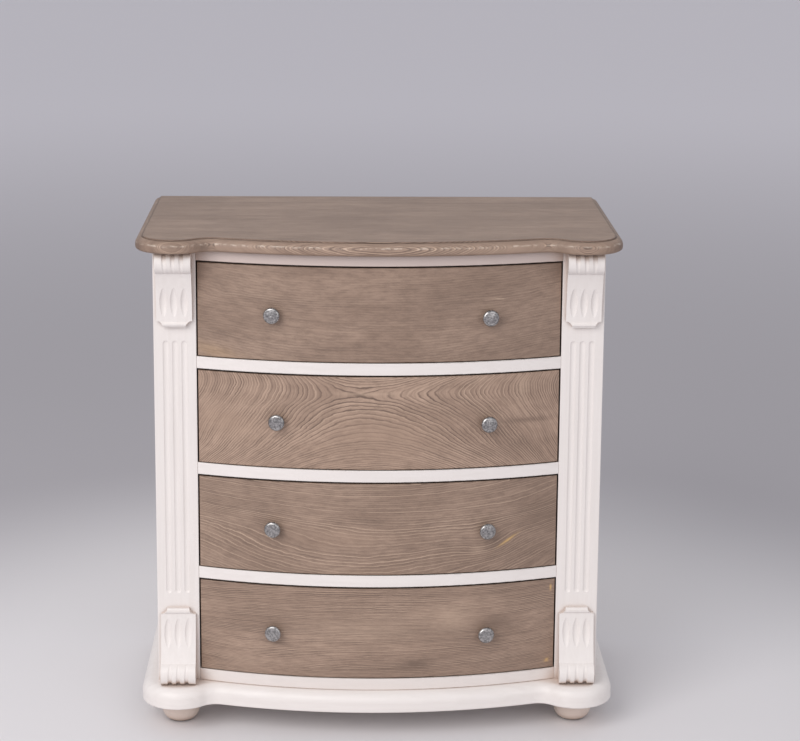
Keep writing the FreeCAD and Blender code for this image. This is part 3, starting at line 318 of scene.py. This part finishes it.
def growth_rings_group():
    """Growth rings about the vector's X axis, streaks along them, and the clouding of a wiped stain."""
    group, given, result = start_group(
        "growth_rings",
        [("Vector", "Vector", None), ("Ring Width", "Float", 0.004), ("Fibre Width", "Float", 0.0017),
         ("Warp", "Float", 0.01), ("Droop", "Float", 0.0), ("Push", "Float", 0.0), ("Seed", "Float", 0.0)],
        [("Late Wood", "Float"), ("Early Line", "Float"), ("Fibres", "Float"), ("Clouds", "Float")])
    shifted = add_node(group, "CombineXYZ", feeds={axis: given["Seed"] for axis in "XYZ"})
    seeded = add_node(group, "VectorMath", feeds={0: given["Vector"], 1: shifted.outputs[0]},
                      operation="ADD").outputs[0]

    wander = stretched_noise(group, seeded, (3.5, 13, 13), 3, Roughness=0.55).outputs["Color"]
    centred = add_node(group, "VectorMath", {1: (0.5, 0.5, 0.5)}, {0: wander}, operation="SUBTRACT")
    pushed = add_node(group, "VectorMath", feeds={0: centred.outputs[0], "Scale": given["Warp"]},
                      operation="SCALE")
    wavy = add_node(group, "VectorMath", feeds={0: given["Vector"], 1: pushed.outputs[0]}, operation="ADD")
    parts = add_node(group, "SeparateXYZ", feeds={0: wavy.outputs[0]}).outputs
    droop = figure(group, "MULTIPLY", figure(group, "MULTIPLY", parts["X"], parts["X"]), given["Droop"])
    height = figure(group, "ADD", parts["Z"], droop)
    radius = figure(group, "SQRT", figure(group, "ADD", figure(group, "MULTIPLY", parts["Y"], parts["Y"]),
                                          figure(group, "MULTIPLY", height, height)))
    radius = figure(group, "ADD", radius, given["Push"])

    ripple = stretched_noise(group, seeded, (26, 85, 85), 3, Roughness=0.6).outputs["Fac"]
    turn = figure(group, "ADD", figure(group, "DIVIDE", radius, given["Ring Width"]),
                  figure(group, "MULTIPLY", ripple, 0.9))
    phase = figure(group, "FRACT", turn)
    years = add_node(group, "TexWhiteNoise", feeds={"W": figure(group, "FLOOR", turn)}, noise_dimensions="1D")
    wet_year = years.outputs["Value"]
    dry_year = add_node(group, "SeparateXYZ", feeds={0: years.outputs["Color"]}).outputs["Y"]
    late = ramp(group, phase, [(0, 0.2), (0.08, 0), (0.6, 0.1), (0.86, 1), (1, 0.2)])
    wetness = figure(group, "ADD", 0.3, figure(group, "MULTIPLY", wet_year, 0.9))
    late = figure(group, "MULTIPLY", late, wetness)
    patchy = stretched_noise(group, seeded, (6, 22, 22), 3, Roughness=0.6).outputs["Fac"]
    late = figure(group, "MULTIPLY", late, ramp(group, patchy, [(0.36, 0.35), (0.6, 1.15)]))
    early = ramp(group, phase, [(0, 0), (0.14, 1), (0.34, 0), (1, 0)])
    early = figure(group, "MULTIPLY", early, figure(group, "POWER", dry_year, 1.8))
    group.links.new(late, result["Late Wood"])
    group.links.new(early, result["Early Line"])

    along = figure(group, "MULTIPLY", parts["X"], 34)
    across = figure(group, "ADD", figure(group, "DIVIDE", radius, given["Fibre Width"]), given["Seed"])
    streak = add_node(group, "CombineXYZ", feeds={"X": along, "Y": across})
    fibres = add_node(group, "TexNoise", {"Scale": 1, "Detail": 4, "Roughness": 0.75},
                      {"Vector": streak.outputs[0]})
    group.links.new(fibres.outputs["Fac"], result["Fibres"])
    clouds = stretched_noise(group, seeded, (5, 14, 14), 5, Roughness=0.62)
    group.links.new(clouds.outputs["Fac"], result["Clouds"])
    return group


def board_spot_group():
    """Nearness to one spot on a board, seen along Y: 1 in its middle, fading to 0 at its ragged edge."""
    group, given, result = start_group(
        "board_spot",
        [("Vector", "Vector", None), ("Place", "Vector", (0, 0, 0)), ("Size", "Vector", (1, 1, 1)),
         ("Tilt", "Float", 0.0), ("Ragged", "Float", 0.0)],
        [("Near", "Float")])
    away = add_node(group, "VectorMath", feeds={0: given["Vector"], 1: given["Place"]}, operation="SUBTRACT")
    turned = add_node(group, "VectorRotate", feeds={"Vector": away.outputs[0], "Angle": given["Tilt"]},
                      rotation_type="Y_AXIS")
    flat = add_node(group, "VectorMath", {1: (1, 0, 1)}, {0: turned.outputs[0]}, operation="MULTIPLY")
    scaled = add_node(group, "VectorMath", feeds={0: flat.outputs[0], 1: given["Size"]}, operation="DIVIDE")
    far = add_node(group, "VectorMath", feeds={0: scaled.outputs[0]}, operation="LENGTH").outputs["Value"]
    tear = stretched_noise(group, given["Vector"], (90, 260, 260), 3).outputs["Fac"]
    torn = figure(group, "MULTIPLY", figure(group, "SUBTRACT", tear, 0.5), given["Ragged"])
    far = figure(group, "ADD", far, torn)
    near = figure(group, "EXPONENT", figure(group, "MULTIPLY", figure(group, "MULTIPLY", far, far), -1))
    group.links.new(near, result["Near"])
    return group


growth_rings = growth_rings_group()
board_spot = board_spot_group()


def near_spot(tree, place, origin, spot, ragged=0.0):
    """Nearness to a spot (x, height on the board, half length, half height, tilt in degrees)."""
    x, high, length, height, tilt = spot
    return use_group(tree, board_spot,
                     {"Place": (x, 0, origin + high), "Size": (length, 1, height), "Tilt": math.radians(tilt),
                      "Ragged": ragged}, {"Vector": place}).outputs["Near"]


def stained_wood(name, low, pith, ring_width, warp, dark, light, seed, droop=0.0, tilt=0.0, turn=0.0,
                 depth=1.0, fibre_width=None, knots=(), marks=()):
    """Stained board whose lowest edge is at height low, cut from a log whose pith runs along X.

    The pith passes through (depth, height on the board), tilted and turned a few degrees, and droop bends it.
    warp is how far the rings wander. dark and light are the strength of their two lines. fibre_width is the
    width of the streaks, or 1.6 rings where it isn't given. depth is how far the stain darkened the board.
    A knot is (spot, push); a mark is (spot, colour, strength).
    """
    finish, tree, shader, place = new_finish(name)
    in_log = add_node(tree, "Mapping", {"Location": (0, -pith[0], -low - pith[1]),
                                        "Rotation": (0, math.radians(tilt), math.radians(turn))},
                      {"Vector": place}, vector_type="POINT").outputs[0]
    push = None
    for spot, rise in knots:
        one = figure(tree, "MULTIPLY", near_spot(tree, place, low, spot), rise)
        push = one if push is None else figure(tree, "ADD", push, one)
    feeds = {"Vector": in_log}
    if push:
        feeds["Push"] = push
    wood = use_group(tree, growth_rings,
                     {"Ring Width": ring_width, "Fibre Width": fibre_width or 1.6 * ring_width, "Warp": warp,
                      "Droop": droop, "Seed": seed}, feeds).outputs
    base = blend_colours(tree, ramp(tree, wood["Clouds"], [(0.36, 0), (0.64, 1)]),
                         [part / depth for part in THICK_STAIN], [part / depth for part in THIN_STAIN])
    fibre = ramp(tree, wood["Fibres"], [(0.35, 0), (0.7, 1)])
    base = blend_colours(tree, figure(tree, "MULTIPLY", fibre, 0.5), base, DARK_STAIN)
    base = blend_colours(tree, figure(tree, "MULTIPLY", wood["Late Wood"], dark), base, DARK_STAIN)
    base = blend_colours(tree, figure(tree, "MULTIPLY", wood["Early Line"], light), base, PALE_STAIN)
    for spot, tone, strength in marks:
        near = figure(tree, "MULTIPLY", near_spot(tree, place, low, spot, MARK_RAGGED), strength)
        base = blend_colours(tree, near, base, tone)
    # The wood is darker where other surfaces are near it: in corners, joints and round the knobs.
    near_surface_dark = ramp(tree, openness(tree, NEAR_SURFACE_REACH), [(0.35, 0.85), (0.62, 0.5), (0.86, 0)])
    base = blend_colours(tree, near_surface_dark, base, NEAR_BLACK_BROWN)
    tree.links.new(base, shader.inputs["Base Color"])
    tree.links.new(remap(tree, wood["Fibres"], 0.42, 0.6), shader.inputs["Roughness"])
    relief = figure(tree, "SUBTRACT", figure(tree, "MULTIPLY", wood["Late Wood"], 0.7), wood["Fibres"])
    bump = add_node(tree, "Bump", {"Strength": 0.4, "Distance": 0.0008}, {"Height": relief})
    tree.links.new(bump.outputs[0], shader.inputs["Normal"])
    return finish


BOW_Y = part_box("drawer_1_front")[0].y
# Where the numbers of LOGS come from: all knots of drawers 2 and 3, and drawer 2's tilt, turn, droop and
# height of the pith, are rounded output of a fitting script. Drawer 4's knots, and the other piths, tilts,
# turns and droops of drawers 2 to 4, began as such output and were changed. The rest was given one by one.
LOGS = {
    1: dict(
        pith=(BOW_Y + 0.18, -0.25), ring_width=0.0042, warp=0.016, dark=0.25, light=0.2, seed=3.1, depth=1.15,
        marks=[
            ((0.209, 0.111, 0.012, 0.0013, -3), PALE_STAIN, 0.85),
            ((0.114, 0.102, 0.06, 0.018, 0), DARK_STAIN, 0.3),
            # The next two dark marks, at the upper corners, are the painted shadow of the top board's
            # overhang.
            ((-0.31, 0.165, 0.06, 0.03, 0), DARK_STAIN, 0.3),
            ((0.315, 0.17, 0.03, 0.025, 0), DARK_STAIN, 0.5),
            # Painted shade on the right part, where the bow turns away from the light.
            ((0.26, 0.08, 0.12, 0.1, 0), DARK_STAIN, 0.12),
            ((-0.29, 0.01, 0.04, 0.012, -12), AMBER, 0.15)]),
    2: dict(
        pith=(BOW_Y + 0.32, 0.123), ring_width=0.0013, warp=0.006, dark=1.0, light=0.9, seed=7.7,
        droop=0.12, tilt=1.3, turn=1.2, depth=0.87,
        knots=[
            ((0.33, 0.068, 0.143, 0.059, 0), 0.009),
            ((-0.317, 0.166, 0.17, 0.055, 0), -0.018),
            ((0.075, 0.142, 0.2, 0.032, 0), -0.007)],
        marks=[
            ((-0.017, 0.139, 0.05, 0.003, 0), PALE_STAIN, 0.5),
            ((0.01, 0.062, 0.11, 0.042, 0), EVEN_STAIN, 0.55),
            ((-0.265, 0.075, 0.05, 0.022, 0), EVEN_STAIN, 0.6),
            ((0.254, 0.144, 0.014, 0.022, 0), PALE_STAIN, 0.4),
            ((0.260, 0.083, 0.045, 0.005, 0), DARK_STAIN, 0.6),
            ((0.250, 0.040, 0.03, 0.014, 0), DARK_STAIN, 0.35)]),
    3: dict(
        pith=(BOW_Y + 0.38, -0.16), ring_width=0.0026, warp=0.009, dark=0.55, light=1.05, seed=12.4,
        droop=0.25, tilt=3.2, turn=-1.0, depth=1.13,
        knots=[
            ((-0.220, 0.008, 0.17, 0.046, 0), 0.004),
            ((-0.235, 0.093, 0.24, 0.035, 0), -0.009),
            ((0.191, 0.054, 0.05, 0.032, 0), 0.009),
            ((0.274, 0.123, 0.11, 0.035, 0), 0.009)],
        marks=[
            ((0.233, 0.057, 0.017, 0.0022, 33), AMBER, 0.95),
            ((0.178, 0.041, 0.013, 0.008, 0), PALE_STAIN, 0.35),
            ((-0.005, 0.096, 0.03, 0.007, -12), DARK_STAIN, 0.35),
            ((-0.06, 0.066, 0.1, 0.02, 0), EVEN_STAIN, 0.35),
            # Painted shade on the right end, where the bow turns away from the light.
            ((0.31, 0.085, 0.09, 0.09, 0), DARK_STAIN, 0.3)]),
    4: dict(
        pith=(BOW_Y + 0.22, 0.37), ring_width=0.0024, warp=0.013, dark=1.6, light=0.9, seed=21.9,
        droop=-0.42, tilt=1.0, turn=1.3,
        knots=[
            ((0.13, 0.055, 0.17, 0.04, 0), 0.005),
            ((-0.08, 0.09, 0.16, 0.045, 0), 0.004)],
        marks=[
            ((0.135, 0.110, 0.038, 0.024, 0), PALE_STAIN, 0.5),
            ((0.067, 0.026, 0.032, 0.010, 6), DARK_STAIN, 0.75),
            ((-0.02, 0.090, 0.12, 0.026, 0), PALE_STAIN, 0.3),
            ((0.220, 0.096, 0.032, 0.014, -8), DARK_STAIN, 0.45),
            ((-0.180, 0.062, 0.028, 0.004, -9), DARK_STAIN, 0.45),
            ((0.314, 0.154, 0.0018, 0.005, 0), AMBER, 0.9),
            ((0.309, 0.015, 0.004, 0.003, 30), AMBER, 0.8)]),
}
for drawer in DRAWERS:
    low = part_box(f"drawer_{drawer}_front")[0].z
    wood = stained_wood(f"stained_wood_{drawer}", low, **LOGS[drawer])
    dress(wood, "stained_wood", f"drawer_{drawer}_front")
top_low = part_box("top_board")[0].z
top_wood = stained_wood(
    "stained_wood_top", top_low, pith=(0.45, -0.21), ring_width=0.0012, warp=0.005, dark=2.4, light=2.2,
    seed=31.3, fibre_width=0.003,
    marks=[
        # The next two dark marks, in the valleys of the bow's edge, are painted shade.
        ((-0.306, 0.010, 0.014, 0.009, 0), DARK_STAIN, 0.7),
        ((0.316, 0.010, 0.020, 0.009, 0), DARK_STAIN, 0.4),
        ((-0.424, 0.010, 0.012, 0.010, 0), DARK_STAIN, 0.6),
        ((0.424, 0.010, 0.012, 0.010, 0), DARK_STAIN, 0.5),
        # Painted light: a paler right part of the edge, evening out the fall of the light along it.
        ((0.190, 0.011, 0.130, 0.010, 0), PALE_STAIN, 0.3)])


def moulded_edge(finish, band, highlight_strength):
    """A dark line along the arris of the flat top, and painted highlights in dashes on the shoulder."""
    tree = finish.node_tree
    shader = tree.nodes["Principled BSDF"]
    wood_tone = shader.inputs["Base Color"].links[0].from_socket
    place = add_node(tree, "TexCoord")
    true_normal = add_node(tree, "NewGeometry").outputs["True Normal"]
    rounded = add_node(tree, "Bevel", {"Radius": band}, samples=8).outputs[0]
    likeness = add_node(tree, "VectorMath", feeds={0: true_normal, 1: rounded}, operation="DOT_PRODUCT")
    line = ramp(tree, likeness.outputs["Value"], [(0.9, 1), (0.985, 0)])
    upward = add_node(tree, "SeparateXYZ", feeds={0: place.outputs["Normal"]}).outputs["Z"]
    flat_on_top = ramp(tree, upward, [(0.97, 0), (0.99, 1)])
    # Painted highlight: pale dashes on the shoulder of the edge, where a lamp's glint would lie.
    shoulder = ramp(tree, upward, [(0.22, 0), (0.36, 1), (0.48, 1), (0.62, 0)])
    patches = stretched_noise(tree, place.outputs["Object"], (80, 80, 320), 5, Roughness=0.7)
    painted_highlight = ramp(tree, patches.outputs["Fac"], [(0.5, 0), (0.6, 1)])
    painted_highlight = figure(tree, "MULTIPLY", figure(tree, "MULTIPLY", painted_highlight, shoulder), highlight_strength)
    tone = blend_colours(tree, painted_highlight, wood_tone, PAINTED_HIGHLIGHT_TONE)
    tone = blend_colours(tree, figure(tree, "MULTIPLY", line, flat_on_top), tone, NEAR_BLACK_BROWN)
    tree.links.new(tone, shader.inputs["Base Color"])


moulded_edge(top_wood, band=0.003, highlight_strength=0.5)
dress(top_wood, "stained_wood", "top_board")


# ---------------------------------------------------------------- drawer boxes, runners and back
# Plain pale wood, planed and left bare: sides and backs of the drawers, their plywood bottoms, the runners
# inside the case and its back panel.
BARE_DARK, BARE_LIGHT = (0.62, 0.47, 0.32), (0.72, 0.58, 0.42)
BARE_LATE_WOOD, BARE_FIBRE = (0.42, 0.27, 0.15), (0.5, 0.36, 0.22)
BARE_LOG_SHIFT = (0, 0.12, 0.31)


def plain_wood(name, turn, seed):
    """Bare pale wood whose grain runs along X once the piece is turned by turn degrees."""
    finish, tree, shader, place = new_finish(name)
    in_log = add_node(tree, "Mapping", {"Rotation": [math.radians(part) for part in turn],
                                        "Location": BARE_LOG_SHIFT},
                      {"Vector": place}, vector_type="POINT").outputs[0]
    wood = use_group(tree, growth_rings, {"Ring Width": 0.006, "Warp": 0.02, "Seed": seed},
                     {"Vector": in_log}).outputs
    base = blend_colours(tree, wood["Clouds"], BARE_DARK, BARE_LIGHT)
    base = blend_colours(tree, figure(tree, "MULTIPLY", wood["Late Wood"], 0.35), base, BARE_LATE_WOOD)
    base = blend_colours(tree, figure(tree, "MULTIPLY", wood["Fibres"], 0.2), base, BARE_FIBRE)
    tree.links.new(base, shader.inputs["Base Color"])
    shader.inputs["Roughness"].default_value = 0.68
    bump = add_node(tree, "Bump", {"Strength": 0.2, "Distance": 0.0004}, {"Height": wood["Fibres"]})
    tree.links.new(bump.outputs[0], shader.inputs["Normal"])
    return finish


bare_across = plain_wood("plain_wood_across", ALONG_X, 41.2)
bare_deep = plain_wood("plain_wood_deep", ALONG_Y, 47.9)
bare_upright = plain_wood("plain_wood_upright", ALONG_Z, 53.3)
for drawer in DRAWERS:
    dress(bare_deep, "plain_wood", f"drawer_{drawer}_left_side", f"drawer_{drawer}_right_side")
    dress(bare_across, "plain_wood", f"drawer_{drawer}_back", f"drawer_{drawer}_bottom")
dress(bare_deep, "plain_wood", "drawer_runners_left", "drawer_runners_right")
dress(bare_upright, "plain_wood", "back_panel")


# ---------------------------------------------------------------- knobs and their screws
# Cast pewter knobs, polished by hand on the high places, and zinc plated screws from inside the drawer.

def metal(name, light, dark, roughness, grain):
    """Grey metal with a fine cast or plated surface."""
    finish, tree, shader, place = new_finish(name)
    spots = add_node(tree, "TexNoise", {"Scale": grain, "Detail": 4, "Roughness": 0.6}, {"Vector": place})
    tone = blend_colours(tree, ramp(tree, spots.outputs["Fac"], [(0.36, 0), (0.64, 1)]), dark, light)
    tree.links.new(tone, shader.inputs["Base Color"])
    shader.inputs["Metallic"].default_value = 1
    polish = remap(tree, spots.outputs["Fac"], roughness - 0.08, roughness + 0.12)
    tree.links.new(polish, shader.inputs["Roughness"])
    bump = add_node(tree, "Bump", {"Strength": 0.3, "Distance": 0.0003}, {"Height": spots.outputs["Fac"]})
    tree.links.new(bump.outputs[0], shader.inputs["Normal"])
    return finish


pewter = metal("pewter", light=(0.50, 0.487, 0.483), dark=(0.24, 0.235, 0.235), roughness=0.3, grain=300)
zinc = metal("zinc_plate", light=(0.72, 0.72, 0.7), dark=(0.55, 0.55, 0.54), roughness=0.28, grain=700)
for drawer in DRAWERS:
    dress(pewter, "pewter", f"drawer_{drawer}_left_knob", f"drawer_{drawer}_right_knob")
    dress(zinc, "screw_steel", f"drawer_{drawer}_knob_screws")
